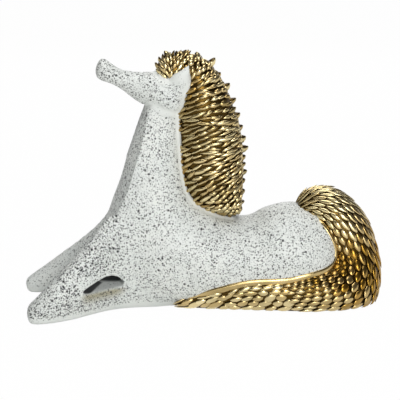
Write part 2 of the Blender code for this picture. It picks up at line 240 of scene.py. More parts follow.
# Trunk and neck, from the rump round the withers to the poll
TORSO_RIBS = (
    sloped((140, 44), (140, 54), 5),
    sloped((137, 28), (137, 68), 24),
    sloped((129, 10), (129, 83), 41),
    sloped((114, SOLE_Z), (114, 93), 51),
    sloped((92, SOLE_Z), (92, 96.5), 55),
    sloped((70, SOLE_Z), (70, 92.2), 53),
    sloped((50, SOLE_Z), (50, 84), 50),
    sloped((10, SOLE_Z), (22, 88.5), 49),
    sloped((-22, SOLE_Z), (9, 96), 49),
    sloped((-50, SOLE_Z + 3), (0, 102), 47),
    sloped((-70, 18), (-6, 108), 44, 0.85),
    sloped((-85, 44), (-11, 114), 40, 0.7),
    sloped((-93, 72), (-14.5, 126), 36, 0.6),
    sloped((-90.5, 100), (-16, 141), 31.5, CHEST_BLUNTNESS),
    sloped((-80.5, 126), (-17, 157), 27.5, CHEST_BLUNTNESS),
    sloped((-71.5, 152), (-17.5, 172), 24, CHEST_BLUNTNESS),
    sloped((-64.8, 171), (-17.5, 184), 20.8, CHEST_BLUNTNESS),
    sloped((-59.2, 187), (-16.5, 195), 18.2, CHEST_BLUNTNESS),
    sloped((-53.8, 200), (-15.5, 205), 16.5, CHEST_BLUNTNESS),
    sloped((-47, 209), (-17.5, 212), 15.5, CHEST_BLUNTNESS),
)

# The flat of the chest and throat, from the brisket up: height, front, how far back the flat slopes to
# its edge on each side, and how far out that edge is
CHEST_FLAT = (
    (72, -93, 2, 34),
    (100, -90.5, 6, 29),
    (126, -80.5, 7.5, 25.5),
    (152, -71.5, 7, 22.3),
    (171, -64.8, 6, 19.3),
    (187, -59.2, 4.5, 17),
    (200, -53.8, 2.5, 15.3),
)
CHEST_RIDGE = 7.0
CHEST_FLAT_FOOT_Z = (80.0, 105.0)
CHEST_FLAT_TOP_Z = (200.0, 194.0)
CHEST_FLAT_REACH = (6.0, 3.0)
CHEST_BACK_X = -40.0

# Head, from the poll over the cheeks and the dished nose to the round muzzle
HEAD_RIBS = (
    sloped((-17, 200), (-14, 214), 8),
    sloped((-23, 190), (-15, 222), 17),
    sloped((-31, 186.5), (-21, 227), 21.5),
    sloped((-40, 188.5), (-29, 230.5), 22),
    sloped((-49, 196.2), (-39, 232.5), 20),
    sloped((-57, 201.5), (-48, 233.1), 16.5),
    sloped((-66, 207.5), (-58, 233.1), 13.5),
    sloped((-75, 215), (-68, 233.9), 11),
    sloped((-84.5, 221), (-78.5, 236.8), 9.8),
    sloped((-92, 224), (-88, 243.3), 10.2),
    sloped((-98, 226.2), (-94.5, 247.2), 10.2),
    sloped((-101, 229.5), (-99, 243.5), 7.5),
    sloped((-102, 233.5), (-101.5, 238), 2.5),
)

# Hair of the brow, poll and neck, down to the withers; each rib lies the way the locks are combed
CREST_RIBS = (
    sloped((-39.8, 228), (-41, 230.5), 2),
    sloped((-39, 226.5), (-41, 234), 6),
    sloped((-36, 222), (-38.7, 243), 12),
    sloped((-30, 218), (-30.5, 248), 13.5),
    sloped((-23, 212), (-14, 249.5), 13.5),
    sloped((-22, 204), (2.5, 246), 16),
    sloped((-24, 194), (15, 233), 20),
    sloped((-26, 182), (27, 213.5), 22.5),
    sloped((-27, 175), (35, 191.5), 23.3),
    sloped((-27, 165), (39.5, 175.5), 24),
    sloped((-26, 153), (41.3, 161), 24.5),
    sloped((-25, 138), (42, 148), 25),
    sloped((-22, 121), (42.3, 138), 25),
    sloped((-15, 105), (42, 127), 24.5),
    sloped((-7, 98), (41.8, 117), 23),
    sloped((4, 93), (41.5, 107), 20.5),
    sloped((16, 90), (41, 98), 16),
    sloped((27, 87), (40.5, 90.5), 10),
)

# Tail, from the dock down behind the rump, then forward on the near side to a point
TAIL_RIBS = (
    rib((98, -2, 90), (99, -4, 97), 7),
    rib((106, 0, 84), (108, -6, 107.5), 15),
    rib((114, 0, 76), (126.5, -9, 112), 22),
    rib((118, -2, 66), (147.5, -11, 104), 27),
    rib((120, -4, 56), (166, -12, 84), 29),
    rib((121, -7, 46), (177, -13, 59), 30),
    rib((115, -18, 44), (181.5, -17, 31), 30),
    rib((107, -31, 42), (174, -30, 3), 27.5),
    rib((98, -41, 37.5), (149, -40, -6), 22),
    rib((87, -45, 33.5), (118, -43, -9), 17),
    rib((76, -46, 31), (89, -41, -9), 13.5),
    rib((57, -46, 30), (66, -36, -8), 11),
    rib((37, -45, 28.5), (43, -32, -7), 9),
    rib((17, -42.5, 24), (21, -28, -5), 7.5),
    rib((-2, -39, 18), (1, -25, -3), 6),
    rib((-14, -35, 12.5), (-12, -24, -1), 4.5),
    rib((-28, -31, 8), (-27, -25.5, 2), 2),
)


def foreleg_ribs(side, knee_height=1.0, elbow_height=1.0):
    """A folded foreleg from knee to elbow; side is -1 for the near leg and 1 for the off leg. The
    heights are shares of the near leg's."""

    def station(back, low, high, low_y, high_y, half_width):
        height = knee_height + (elbow_height - knee_height) * (back / LEG_LENGTH) ** 2
        x = KNEE_X + back
        return rib((x, low_y * side, low), (x, high_y * side, high * height), half_width)

    return (
        station(0, 6, 13, 51, 51, 4),
        station(2.5, SOLE_Z + 3, 18, 51, 51, 10),
        station(10, SOLE_Z, 25, 52, 50, 13),
        station(25, SOLE_Z, 39.5, 50, 47, 15),
        station(45, SOLE_Z, 59, 42, 41, 16.5),
        station(65, SOLE_Z, 78.5, 28, 36, 18),
        station(85, SOLE_Z, 99, 18, 27, 18),
        station(LEG_LENGTH, SOLE_Z, 98, 15, 21, 17),
        station(LEG_LENGTH + 20, SOLE_Z, 84, 17, 18, 14),
        station(LEG_LENGTH + 45, SOLE_Z + 2, 60, 18, 18, 10),
    )


def ear_ribs(side):
    """A leaf-shaped ear growing out of the poll."""
    return (
        rib((-33, 12 * side, 221), (-15, 12 * side, 211), 5.5),
        rib((-30, 16.5 * side, 229), (-12.5, 16 * side, 221), 5),
        rib((-23.5, 18.5 * side, 235), (-12, 18 * side, 230), 3.8),
        rib((-16, 19.5 * side, 240.5), (-12.5, 19.5 * side, 238.5), 1.6),
        rib((-13.6, 19.8 * side, 242.5), (-13, 19.8 * side, 242.2), 0.5),
    )


# The eye-shaped gap above each folded cannon, in the profile that it has on the leg's outer face. The
# face lies about half as far out as it lies forward, and the gap rises inwards from it.
GAP_ARCH = ((-122, 26), (-109.4, 33.8), (-99.3, 37.7), (-92.6, 37.8), (-86.7, 36.5), (-81.7, 31.7))
GAP_SILL = ((-80, 27.8), (-86.7, 24.5), (-104.4, 24.2))
GAP_SLOPE = 0.2
GAP_SWEEP = 100.0
LEG_SPLAY = 0.5

# The part of a leg that holds the gap, the stain that ran down below it, and the shade painted inside:
# dark on the roof and the inner end, and a painted shadow of the arch over the sill, starting deeper the
# further back.
GAP_PART_X = (-126.0, -76.0)
GAP_PART_Z = (18.0, 44.0)
STAIN = 0.8
STAIN_FRONT_X = (-126.0, -116.0)
STAIN_BACK_X = (-74.0, -84.0)
STAIN_FOOT_Z = (12.0, 23.0)
STAIN_TOP_Z = (27.0, 24.0)
STAIN_Y = (30.0, 36.0)
GAP_MOUTH = (0.5, 2.0)
GAP_BARENESS = 0.3
# Painted shade inside the gaps: how dark it is, where the painted shadow of the arch on the sill starts,
# how it slants and fades, and the roof and inner end that are painted dark
GAP_SHADE_DARKNESS = 0.95
SILL_SHADOW_FRONT_X = -114.5
SILL_SHADOW_SLANT = 1.1
SILL_SHADOW_FADE = (-1.5, 1.5)
ROOF_NORMAL_Z = (0.1, -0.2)
GAP_INNER_Y = (26.0, 20.0)


def faired(rows, steps, closed=False):
    """The rows with more between them, on a Catmull-Rom curve through their numbers."""
    rows = np.array(rows, float)
    if closed:
        rows = np.vstack([rows[-1], rows, rows[:2]])
    else:
        rows = np.vstack([2 * rows[0] - rows[1], rows, 2 * rows[-1] - rows[-2]])
    found = []
    for a, b, c, d in zip(rows, rows[1:], rows[2:], rows[3:]):
        for t in np.arange(steps) / steps:
            slope = (c - a) * t
            bend = (2 * a - 5 * b + 4 * c - d) * t**2
            turn = (3 * b - a - 3 * c + d) * t**3
            found.append(b + (slope + bend + turn) / 2)
    if not closed:
        found.append(rows[-2])
    return np.array(found)


def paced(ribs, pitch):
    """Ribs an even pitch apart along the middle of the form."""
    rows = faired(ribs, PACING_STEPS)
    middles = (rows[:, :3] + rows[:, 3:6]) / 2
    steps = np.linalg.norm(np.diff(middles, axis=0), axis=1)
    lengths = np.concatenate([[0], np.cumsum(steps)])
    places = np.linspace(0, lengths[-1], round(lengths[-1] / pitch) + 1)
    return np.array([np.interp(places, lengths, column) for column in rows.T]).T


def section(row, grow=0.0):
    """The placing of a unit circle on a rib: x is the long axis, y the half width."""
    start = Vector(row[:3])
    end = Vector(row[3:6])
    long_axis = (end - start) / 2
    side = (ACROSS - ACROSS.project(long_axis)).normalized()
    ahead = long_axis.cross(side).normalized()
    long_axis += long_axis.normalized() * grow
    half_width = max(row[6] + grow, LEAST_HALF_WIDTH)
    placing = Matrix((long_axis, side * half_width, ahead)).transposed().to_4x4()
    placing.translation = (start + end) / 2
    return placing


def blunted(point, power):
    """A point of a unit ring, with the half at its rib's start squared; powers multiply."""
    if point.x >= 0:
        return point
    return Vector((-((-point.x) ** power), math.copysign(abs(point.y) ** power, point.y), 0))


def draw_out(mesh, placings, around, bluntness):
    """Adds a closed skin to the mesh: a ring drawn out from each placing to the next, and capped."""
    made = bmesh.ops.create_circle(mesh, cap_ends=True, segments=around, radius=1)["verts"]
    ring = list({edge for vert in made for edge in vert.link_edges})
    for vert in made:
        vert.co = placings[0] @ blunted(vert.co, bluntness[0])
    for i in range(1, len(placings)):
        drawn = bmesh.ops.extrude_edge_only(mesh, edges=ring)["geom"]
        verts = [item for item in drawn if isinstance(item, bmesh.types.BMVert)]
        ring = [item for item in drawn if isinstance(item, bmesh.types.BMEdge)]
        home = placings[i - 1].inverted()
        for vert in verts:
            vert.co = placings[i] @ blunted(home @ vert.co, bluntness[i] / bluntness[i - 1])
        made += verts
    bmesh.ops.holes_fill(mesh, edges=ring)
    return made


def loft(rows, around, grow=0.0):
    """A closed skin over the rows, cut flat by the ground."""
    mesh = bmesh.new()
    draw_out(mesh, [section(row, grow) for row in rows], around, [row[7] for row in rows])
    for vert in mesh.verts:
        vert.co.z = max(vert.co.z, 0)
    bmesh.ops.recalc_face_normals(mesh, faces=mesh.faces)
    return mesh


def piece(name, mesh, *materials):
    """A finished bmesh as an object of the scene, in metres."""
    bmesh.ops.scale(mesh, vec=(MM, MM, MM), verts=mesh.verts)
    data = bpy.data.meshes.new(name)
    mesh.to_mesh(data)
    mesh.free()
    data.shade_smooth()
    for material in materials:
        data.materials.append(material)
    obj = bpy.data.objects.new(name, data)
    bpy.context.scene.collection.objects.link(obj)
    return obj


def settled(obj):
    """The object's mesh with its modifiers carried out, in millimetres; the object is removed."""
    bpy.context.view_layer.update()
    data = bpy.data.meshes.new_from_object(obj.evaluated_get(bpy.context.evaluated_depsgraph_get()))
    bpy.data.objects.remove(obj)
    mesh = bmesh.new()
    mesh.from_mesh(data)
    bpy.data.meshes.remove(data)
    bmesh.ops.scale(mesh, vec=(1 / MM, 1 / MM, 1 / MM), verts=mesh.verts)
    return mesh


def smoothed(mesh, verts, rounds):
    for _ in range(rounds):
        bmesh.ops.smooth_vert(
            mesh, verts=verts, factor=0.5, use_axis_x=True, use_axis_y=True, use_axis_z=True
        )


def ease(value, low, high):
    """0 at low and 1 at high, with a smooth step between them; low may be the larger."""
    share = min(max((value - low) / (high - low), 0.0), 1.0)
    return share * share * (3 - 2 * share)


def gap_cutter(side):
    """The eye-shaped gap, run out from the mid-plane right through one leg."""
    mesh = bmesh.new()
    outline = []
    for x, z in faired(GAP_ARCH + GAP_SILL, GAP_STEPS, closed=True):
        outline.append(mesh.verts.new((x, side, z + GAP_SLOPE * (1 - LEG_SPLAY * x))))
    face = mesh.faces.new(outline)
    drawn = bmesh.ops.extrude_face_region(mesh, geom=[face])["geom"]
    verts = [item for item in drawn if isinstance(item, bmesh.types.BMVert)]
    bmesh.ops.translate(mesh, verts=verts, vec=(0, GAP_SWEEP * side, -GAP_SWEEP * GAP_SLOPE))
    bmesh.ops.recalc_face_normals(mesh, faces=mesh.faces)
    return piece("gap", mesh)


def foreleg(side, solid):
    """One foreleg with its gap cut through."""
    leg = piece("foreleg", solid)
    cutter = gap_cutter(side)
    leg.modifiers.new("gap", "BOOLEAN").object = cutter
    mesh = settled(leg)
    bpy.data.objects.remove(cutter)
    return mesh


def add(tree, kind, inputs=(), **settings):
    """Adds a node. inputs maps a socket to its value, or to the output that feeds it."""
    node = tree.nodes.new(kind)
    for name, value in settings.items():
        setattr(node, name, value)
    for socket, value in dict(inputs).items():
        if isinstance(value, bpy.types.NodeSocket):
            tree.links.new(value, node.inputs[socket])
        else:
            node.inputs[socket].default_value = value
    return node


def linear(hex_colour):
    """An sRGB hex colour in linear light."""
    shares = [int(hex_colour[i : i + 2], 16) / 255 for i in (1, 3, 5)]
    return (*[s / 12.92 if s <= 0.04045 else ((s + 0.055) / 1.055) ** 2.4 for s in shares], 1.0)


def new_material(name):
    """An empty node material, with its tree and its Principled shader."""
    material = bpy.data.materials.new(name)
    material.use_nodes = True
    tree = material.node_tree
    return material, tree, tree.nodes["Principled BSDF"]


# Iron flecks in the glaze, in three sizes: spacing, greatest radius, softness of the edge, share of
# the spots that hold one, and how dark it is. The least are drawn coarser than real ones, to show.
FLECKS_MM = (
    (0.9, 0.48, 0.05, 0.9, 0.8),
    (1.6, 0.84, 0.1, 0.95, 1.0),
    (3.6, 1.3, 0.2, 0.5, 1.0),
)
GLAZE_CLOUD_MM = 30.0
LUSTRE_PATCH_MM = 35.0
LUSTRE_GRAIN_MM = 3.0

# Sockets of a Mix node that mixes colours
FIRST = 6
SECOND = 7
MIXED = 2


def speckled_glaze():
    """White stoneware glaze, poured and fired: a soft gloss over iron flecks that burnt through it.
    The flecks stay away from rims and the foot, where the glaze ran thick, and thin out inside the gaps,
    where shade is painted near-black on the roof, at the inner end and as the arch's shadow on the sill."""
    material, tree, shader = new_material("speckled_glaze")
    place = add(tree, "ShaderNodeTexCoord").outputs["Object"]
    bare = add(tree, "ShaderNodeAttribute", attribute_name="bare").outputs["Fac"]
    stain = add(tree, "ShaderNodeAttribute", attribute_name="stain").outputs["Fac"]
    # Shade painted inside the gaps
    gap_shade = add(tree, "ShaderNodeAttribute", attribute_name="gap_shade").outputs["Fac"]

    flecks = 0.0
    for spacing, radius, softness, share, darkness in FLECKS_MM:
        cells = add(tree, "ShaderNodeTexVoronoi", {"Vector": place, "Scale": 1 / (spacing * MM)})
        lot = add(tree, "ShaderNodeSeparateColor", {"Color": cells.outputs["Color"]}).outputs["Red"]
        kept = add(tree, "ShaderNodeMath", {0: lot, 1: bare}, operation="ADD").outputs[0]
        reach = add(
            tree,
            "ShaderNodeMapRange",
            {"Value": kept, "From Max": share, "To Min": radius / spacing, "To Max": 0.0},
        ).outputs["Result"]
        depth = add(
            tree, "ShaderNodeMath", {0: reach, 1: cells.outputs["Distance"]}, operation="SUBTRACT"
        ).outputs[0]
        fleck = add(
            tree,
            "ShaderNodeMapRange",
            {"Value": depth, "From Max": softness / spacing, "To Max": darkness},
        ).outputs["Result"]
        flecks = add(tree, "ShaderNodeMath", {0: flecks, 1: fleck}, operation="MAXIMUM").outputs[0]

    clouds = add(
        tree, "ShaderNodeTexNoise", {"Vector": place, "Scale": 1 / (GLAZE_CLOUD_MM * MM), "Detail": 2.0}
    ).outputs["Fac"]
    glaze = add(
        tree,
        "ShaderNodeMix",
        {"Factor": clouds, FIRST: linear("#D8DDDA"), SECOND: linear("#EBEDE8")},
        data_type="RGBA",
    ).outputs[MIXED]
    stained = add(
        tree,
        "ShaderNodeMix",
        {"Factor": stain, FIRST: glaze, SECOND: linear("#8C8460")},
        data_type="RGBA",
    ).outputs[MIXED]
    flecked = add(
        tree,
        "ShaderNodeMix",
        {"Factor": flecks, FIRST: stained, SECOND: linear("#141517")},
        data_type="RGBA",
    ).outputs[MIXED]
    # Painted shade inside the gaps, in near-black grey
    colour = add(
        tree,
        "ShaderNodeMix",
        {"Factor": gap_shade, FIRST: flecked, SECOND: linear("#26282B")},
        data_type="RGBA",
    ).outputs[MIXED]
    tree.links.new(colour, shader.inputs["Base Color"])
    shader.inputs["Roughness"].default_value = 0.5
    shader.inputs["IOR"].default_value = 1.5
    return material


def gold_lustre():
    """Bright gold lustre, brushed over fired glaze: a thin metal film in tones from deep gold to pale,
    dulled to olive in patches, with shade painted brown in the grooves between the locks and on their lower
    flanks."""
    material, tree, shader = new_material("gold_lustre")
    place = add(tree, "ShaderNodeTexCoord").outputs["Object"]
    # Where shade is painted: the core between the locks and their lower flanks
    groove_shade = add(tree, "ShaderNodeAttribute", attribute_name="groove_shade").outputs["Fac"]
    tone = add(tree, "ShaderNodeAttribute", attribute_name="tone").outputs["Fac"]
    worn = add(
        tree,
        "ShaderNodeMix",
        {"Factor": tone, FIRST: linear("#A07A30"), SECOND: linear("#EFDFAE")},
        data_type="RGBA",
    ).outputs[MIXED]
    clouds = add(
        tree, "ShaderNodeTexNoise", {"Vector": place, "Scale": 1 / (LUSTRE_PATCH_MM * MM), "Detail": 2.0}
    ).outputs["Fac"]
    dullness = add(
        tree, "ShaderNodeMapRange", {"Value": clouds, "From Min": 0.45, "From Max": 0.7, "To Max": 0.6}
    ).outputs["Result"]
    dulled = add(
        tree,
        "ShaderNodeMix",
        {"Factor": dullness, FIRST: worn, SECOND: linear("#6A5A2A")},
        data_type="RGBA",
    ).outputs[MIXED]
    # Painted shade, in dark brown
    colour = add(
        tree,
        "ShaderNodeMix",
        {"Factor": groove_shade, FIRST: dulled, SECOND: linear("#4A3816")},
        data_type="RGBA",
    ).outputs[MIXED]
    grain = add(
        tree, "ShaderNodeTexNoise", {"Vector": place, "Scale": 1 / (LUSTRE_GRAIN_MM * MM), "Detail": 3.0}
    ).outputs["Fac"]
    roughness = add(
        tree, "ShaderNodeMapRange", {"Value": grain, "To Min": 0.18, "To Max": 0.36}
    ).outputs["Result"]
    tree.links.new(colour, shader.inputs["Base Color"])
    tree.links.new(roughness, shader.inputs["Roughness"])
    shader.inputs["Metallic"].default_value = 1.0
    return material


class Combing:
    """Hair in the making: a core painted dark as shade, and locks that are laid on it one by one."""

    def __init__(self, rows, around, seed):
        self.rows = rows
        self.mesh = loft(rows, around, grow=-CORE_DEPTH)
        self.chance = random.Random(seed)
        self.patterns = []
        self.groove_shade = self.mesh.verts.layers.float.new("groove_shade")
        self.tone = self.mesh.verts.layers.float.new("tone")
        # The core, between the locks, is painted all dark as shade
        for vert in self.mesh.verts:
            vert[self.groove_shade] = 1.0
        angles = [2 * math.pi * k / around for k in range(around)]
        corners = [Vector((math.cos(angle), math.sin(angle), 0)) for angle in angles]
        self.net = [[section(row) @ corner for corner in corners] for row in rows]
        self.hearts = [section(row).translation for row in rows]

    def keep_core(self, point, normal):
        """Cuts the core on a plane and keeps the side that normal points to."""
        core = self.mesh.verts[:] + self.mesh.edges[:] + self.mesh.faces[:]
        cut = bmesh.ops.bisect_plane(
            self.mesh, geom=core, plane_co=point, plane_no=normal, clear_inner=True
        )["geom_cut"]
        edges = [item for item in cut if isinstance(item, bmesh.types.BMEdge)]
        bmesh.ops.holes_fill(self.mesh, edges=edges)

    def make_lock(self, pointedness, ridge):
        """A pattern for locks, at unit size: a grain with drawn-out tips and a shallow underside. Shade is
        painted on it, dark from its edge up to the height of the ridge."""
        verts = bmesh.ops.create_uvsphere(
            self.mesh, u_segments=LOCK_SIDES, v_segments=LOCK_RINGS, radius=1
        )["verts"]
        for vert in verts:
            thinning = (1 - min(vert.co.z**2, 1)) ** pointedness
            vert.co.x *= thinning
            vert.co.y *= thinning
            # Painted shade on the lock's lower flanks and underside
            vert[self.groove_shade] = ease(vert.co.y, ridge, ridge - GROOVE_FADE)
            vert.co.y *= 1 if vert.co.y > 0 else UNDERSIDE_DEPTH
        parts = set(verts)
        for vert in verts:
            parts.update(vert.link_edges, vert.link_faces)
        self.patterns.append(list(parts))
        return self.patterns[-1]

    def spans(self, i, k):
        """How the net runs at a point: from ring to ring, along the ring, and outwards."""
        ring = self.net[i]
        along = self.net[i + 1][k] - self.net[i - 1][k]
        around = ring[(k + 1) % len(ring)] - ring[k - 1]
        outward = along.cross(around).normalized()
        if outward.dot(ring[k] - self.hearts[i]) < 0:
            outward.negate()
        return along, around, outward

    def lay(self, pattern, centre, flow, outward, size, tilt, unevenness, tone):
        """A lock about its centre, along flow, with its tip tilted up from the surface. size is its
        length, width and height."""
        chance = self.chance
        turn = chance.gauss(0, unevenness / 2)
        flow = flow.normalized()
        side = outward.cross(flow).normalized()
        flow = flow * math.cos(turn) + side * math.sin(turn)
        side = outward.cross(flow).normalized()
        outward = flow.cross(side)
        tip = flow * math.cos(tilt) + outward * math.sin(tilt)
        back = outward * math.cos(tilt) - flow * math.sin(tilt)
        length, width, height = [s * chance.uniform(1 - unevenness, 1 + unevenness) for s in size]
        placing = Matrix((side * width / 2, back * height, tip * length / 2)).transposed().to_4x4()
        placing.translation = centre + flow * length * chance.uniform(-unevenness, unevenness) / 2
        made = bmesh.ops.duplicate(self.mesh, geom=pattern)["geom"]
        verts = [item for item in made if isinstance(item, bmesh.types.BMVert)]
        bmesh.ops.transform(self.mesh, matrix=placing, verts=verts)
        tone += chance.uniform(-TONE_SPREAD, TONE_SPREAD)
        for vert in verts:
            vert[self.tone] = tone
            vert.co.z = max(vert.co.z, 0)

    def finished(self):
        for pattern in self.patterns:
            verts = [item for item in pattern if isinstance(item, bmesh.types.BMVert)]
            bmesh.ops.delete(self.mesh, geom=verts, context="VERTS")
        bmesh.ops.recalc_face_normals(self.mesh, faces=self.mesh.faces)
        return self.mesh


def depth_under(body, point):
    """How far a point lies under the glazed skin; negative in the open."""
    place, normal, _, _ = body.find_nearest(point * MM)
    return (place - point * MM).dot(normal) / MM


def mane_flow(point, around, outward):
    """The way that a lock of the mane lies: along the net at the poll, and combed back below it."""
    angle = math.radians(NAPE_ANGLE + WITHERS_EXTRA_ANGLE * ease(point.z, *WITHERS_Z))
    combed = Vector((math.cos(angle), 0, math.sin(angle)))
    return around.normalized().lerp(combed - combed.project(outward), ease(point.z, *COMBED_Z))


def forelock_flow(point):
    """The way that a strand of the forelock lies: towards the tips on the brow, fanned out a little."""
    spread = min(max(FORELOCK_SPREAD * point.y, -FORELOCK_TIP.y), FORELOCK_TIP.y)
    return Vector((FORELOCK_TIP.x, spread, FORELOCK_TIP.z)) - point


def comb_crest(body, side, seed):
    """Locks from the neck out to the crest, with knobs that stand out along it: the mane, where side
    is -1, or the forelock, where it is 1, on the other side of the parting between the ears."""
    rows = paced(CREST_RIBS, MANE_RING_PITCH)
    combing = Combing(rows, MANE_AROUND, seed)
    combing.keep_core(PARTING, PARTING_NORMAL * side)
    lock = combing.make_lock(*MANE_LOCK_SHAPE)
    knob = combing.make_lock(*KNOB_SHAPE)
    half = MANE_AROUND // 2
    for i in range(1, len(rows) - 1):
        for k in range(-half + 1, half):
            point = combing.net[i][k]
            if (i + k) % 2 or (point - PARTING).dot(PARTING_NORMAL) * side < 0:
                continue
            depth = depth_under(body, point)
            if depth > SUNK_DEPTH:
                continue
            along, around, outward = combing.spans(i, k)
            if k == 0 and i % RINGS_PER_KNOB == 0:
                foot = point - outward * KNOB_SINK
                combing.lay(knob, foot, outward, along.normalized(), KNOB, 0.0, KNOB_UNEVENNESS, MANE_TONE)
            if side < 0 and abs(k) < CREST_REACH:
                foot = point - outward * CREST_SINK
                combing.lay(lock, foot, along, outward, CREST_LOCK, CREST_TILT, CREST_UNEVENNESS, MANE_TONE)
                continue
            if side < 0:
                flow = mane_flow(point, -around if k > 0 else around, outward)
                length = around.length * MANE_LOCK_LENGTH_SHARE
                size = (length, along.length * MANE_LOCK_WIDTH_SHARE, MANE_LOCK_HEIGHT)
                # Painted shade: the locks closest to the skin, along the mane's border, take the deeper
                # tone
                tone = MANE_TONE + (BORDER_SHADE_TONE - MANE_TONE) * ease(depth, *BORDER_SHADE_DEPTH)
            else:
                flow = forelock_flow(point)
                size = FORELOCK_STRAND
                tone = MANE_TONE
            tilt = combing.chance.uniform(*MANE_TILT)
            combing.lay(lock, point, flow, outward, size, tilt, MANE_UNEVENNESS, tone)
    return combing.finished()


def rim_route(combing, body):
    """Points along the border of the tail and the haunch, up the near side, round the dock and down
    the off side."""

    def border(i, way):
        placing = section(combing.rows[i])
        for step in range(RIM_STEPS):
            angle = way * math.pi * (RIM_SEARCH_START + (1 - RIM_SEARCH_START) * step / RIM_STEPS)
            point = placing @ Vector((math.cos(angle), math.sin(angle), 0))
            if depth_under(body, point) > 0:
                return point
        return None

    last = len(combing.rows) - 2
    near = [border(i, -1) for i in range(last, RIM_FIRST_RING - 1, -1)]
    off = [border(i, 1) for i in range(RIM_FIRST_RING, last // 2)]
    route = np.array([point for point in near + off if point and point.z > RIM_LOW_Z])
    for _ in range(RIM_EVENING):
        route[1:-1] = (route[:-2] + 2 * route[1:-1] + route[2:]) / 4
    return [Vector(point) for point in faired(route, RIM_FAIRING)]


def lay_rim(combing, body):
    """A smooth roll along the border of the tail and the haunch."""
    route = rim_route(combing, body)
    placings = []
    for before, point, after in zip(route, route[1:], route[2:]):
        ahead = (after - before).normalized()
        outward = body.find_nearest(point * MM)[1]
        side = ahead.cross(outward).normalized()
        end = min(len(placings), len(route) - 3 - len(placings))
        share = RIM_END_SHARE + (1 - RIM_END_SHARE) * ease(end, 0, RIM_TAPER)
        height = side.cross(ahead) * RIM_HEIGHT * share
        placing = Matrix((height, side * RIM_RADIUS * share, ahead)).transposed().to_4x4()
        placing.translation = point
        placings.append(placing)
    for vert in draw_out(combing.mesh, placings, RIM_SIDES, [1.0] * len(placings)):
        vert[combing.tone] = RIM_TONE


def comb_tail(body, seed):
    """Locks like scales down the tail, in rows that run from the dock to the point. In the thin half
    they turn to leaves, which are longer, fewer round the tail, and slant to the ground."""
    rows = paced(TAIL_RIBS, TAIL_RING_PITCH)
    combing = Combing(rows, TAIL_AROUND, seed)
    lay_rim(combing, body)
    lock = combing.make_lock(*TAIL_LOCK_SHAPE)
    leaf = combing.make_lock(*LEAF_SHAPE)
    for i in range(1, len(rows) - 1):
        ring = combing.net[i]
        girth = sum((a - b).length for a, b in zip(ring, ring[1:]))
        tone = np.interp(i / len(rows), *TAIL_TONES)
        row_points = TAIL_ROW_POINTS
        if i > len(rows) / 2:
            row_points = max(round(LEAF_ROW_WIDTH * TAIL_AROUND / girth), TAIL_ROW_POINTS)
        row_points = min(row_points, LEAF_MOST_POINTS)
        for k in range(0, TAIL_AROUND, row_points):
            point = ring[k]
            if (i + k // row_points) % 2 or point.z < 0 or depth_under(body, point) > SUNK_DEPTH:
                continue
            along, around, outward = combing.spans(i, k)
            width = around.length / 2 * row_points * TAIL_ROW_OVERLAP
            if row_points > TAIL_ROW_POINTS:
                down = around if around.z < 0 else -around
                flow = along.normalized() + LEAF_SLANT * down.normalized()
                size = (along.length * LEAF_LENGTH_SHARE, width * LEAF_WIDTH_SHARE, TAIL_LOCK_HEIGHT)
                combing.lay(leaf, point, flow, outward, size, TAIL_TILT, LEAF_UNEVENNESS, tone)
            else:
                size = (along.length * TAIL_LOCK_LENGTH_SHARE, width, TAIL_LOCK_HEIGHT)
                combing.lay(lock, point, along, outward, size, TAIL_TILT, TAIL_UNEVENNESS, tone)
    return combing.finished()


def by_gap(point):
    """Whether a point lies in or round the gap of a foreleg."""
    in_length = GAP_PART_X[0] < point.x < GAP_PART_X[1]
    return in_length and GAP_PART_Z[0] < point.z < GAP_PART_Z[1]


def run_together(castings):
    """One skin over the castings, rounded as a glaze rounds it."""
    whole = bmesh.new()
    for mesh in castings:
        data = bpy.data.meshes.new("casting")
        mesh.to_mesh(data)
        mesh.free()
        whole.from_mesh(data)
        bpy.data.meshes.remove(data)
    rough = piece("castings", whole)
    remesh = rough.modifiers.new("run_together", "REMESH")
    remesh.mode = "VOXEL"
    remesh.voxel_size = SKIN_VOXEL * MM
    mesh = settled(rough)
    plain = [vert for vert in mesh.verts if vert.co.z < EAR_FOOT_Z or vert.co.x < EAR_FRONT_X]
    smoothed(mesh, plain, SKIN_ROUNDING)
    ears = [vert for vert in mesh.verts if vert.co.z >= EAR_FOOT_Z and vert.co.x > EAR_FRONT_X]
    smoothed(mesh, ears, EAR_ROUNDING)
    mesh.normal_update()
    return mesh


def round_shoulders(mesh, trunk, legs):
    """Runs the legs into the trunk."""
    for reach in SHOULDER_REACHES:
        shoulders = []
        for vert in mesh.verts:
            from_trunk = trunk.find_nearest(vert.co)[3]
            from_leg = min(leg.find_nearest(vert.co)[3] for leg in legs)
            flank = vert.co.y > 0 or vert.normal.y < SIDE_NORMAL_Y or vert.normal.x > REAR_NORMAL_X
            joined = max(from_trunk, from_leg) < reach and vert.co.z > SHOULDER_LOW_Z
            if joined and flank and not by_gap(vert.co):
                shoulders.append(vert)
        smoothed(mesh, shoulders, SHOULDER_ROUNDING)


def flatten_chest(mesh, trunk):
    """Presses the front of the chest and throat back to its two flats."""
    heights, fronts, slopes, edges = np.array(CHEST_FLAT, float).T
    for vert in mesh.verts:
        x, y, z = vert.co
        share = ease(z, *CHEST_FLAT_FOOT_Z) * ease(z, *CHEST_FLAT_TOP_Z)
        share *= ease(trunk.find_nearest(vert.co)[3], *CHEST_FLAT_REACH)
        out = (abs(y) - CHEST_RIDGE) / (np.interp(z, heights, edges) - CHEST_RIDGE)
        flat = np.interp(z, heights, fronts) + min(max(out, 0), 1) * np.interp(z, heights, slopes)
        if x < CHEST_BACK_X:
            vert.co.x += share * max(flat - x, 0)


